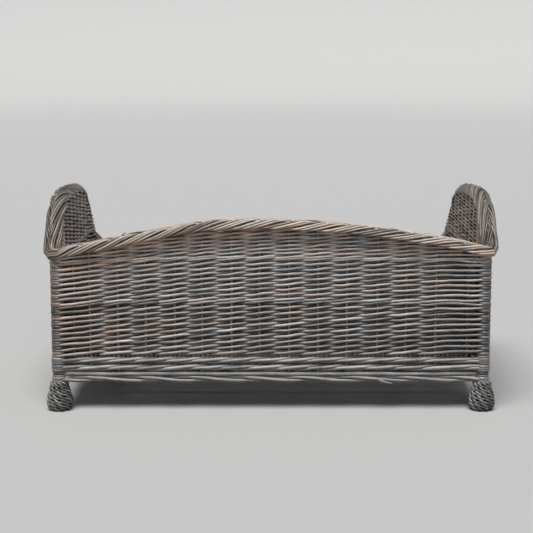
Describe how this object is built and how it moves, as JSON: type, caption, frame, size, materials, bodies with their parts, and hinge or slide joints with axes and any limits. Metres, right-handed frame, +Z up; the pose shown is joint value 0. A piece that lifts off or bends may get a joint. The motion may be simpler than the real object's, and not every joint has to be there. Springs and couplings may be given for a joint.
{
  "type": "wicker pet bed basket",
  "caption": "Rectangular willow pet bed with an arched back wall, arched sides, a dipped entry wall, a plaited rim and woven feet.",
  "frame": {"origin": "on the floor, under the middle of the bed", "axes": "+Z up; -Y towards the arched back wall, +Y towards the dipped entry wall; +X along the bed's length"},
  "size_m": [0.6378, 0.4178, 0.3049],
  "materials": {
    "post_rod": "weathered willow rod with bark",
    "corner_willow": "dark steamed willow, worn warm brown",
    "wall_willow": "dark weathered willow with a dull sheen",
    "base_willow": "dark weathered willow",
    "border_willow": "greyed willow rods, plaited",
    "stake_willow": "dark willow stakes",
    "foot_willow": "dark thin willow, twined"
  },
  "bodies": {
    "root": {"post_back_left": "post_rod", "post_back_right": "post_rod", "post_entry_right": "post_rod", "post_entry_left": "post_rod", "foot_back_left": "foot_willow", "foot_back_right": "foot_willow", "foot_entry_right": "foot_willow", "foot_entry_left": "foot_willow", "corner_wrap_back_left": "corner_willow", "corner_wrap_back_right": "corner_willow", "corner_wrap_entry_right": "corner_willow", "corner_wrap_entry_left": "corner_willow", "base_rail_back": "base_willow", "base_rail_right": "base_willow", "base_rail_entry": "base_willow", "base_rail_left": "base_willow", "base_rope_back": "base_willow", "base_rope_right": "base_willow", "base_rope_entry": "base_willow", "base_rope_left": "base_willow", "base_sticks": "stake_willow", "base_weave": "base_willow", "wale_back": "wall_willow", "wale_right": "wall_willow", "wale_entry": "wall_willow", "wale_left": "wall_willow", "stakes_back": "stake_willow", "stakes_right": "stake_willow", "stakes_entry": "stake_willow", "stakes_left": "stake_willow", "weave_back": "wall_willow", "weave_right": "wall_willow", "weave_entry": "wall_willow", "weave_left": "wall_willow", "border_back": "border_willow", "border_right": "border_willow", "border_entry": "border_willow", "border_left": "border_willow"}
  },
  "joints": []
}
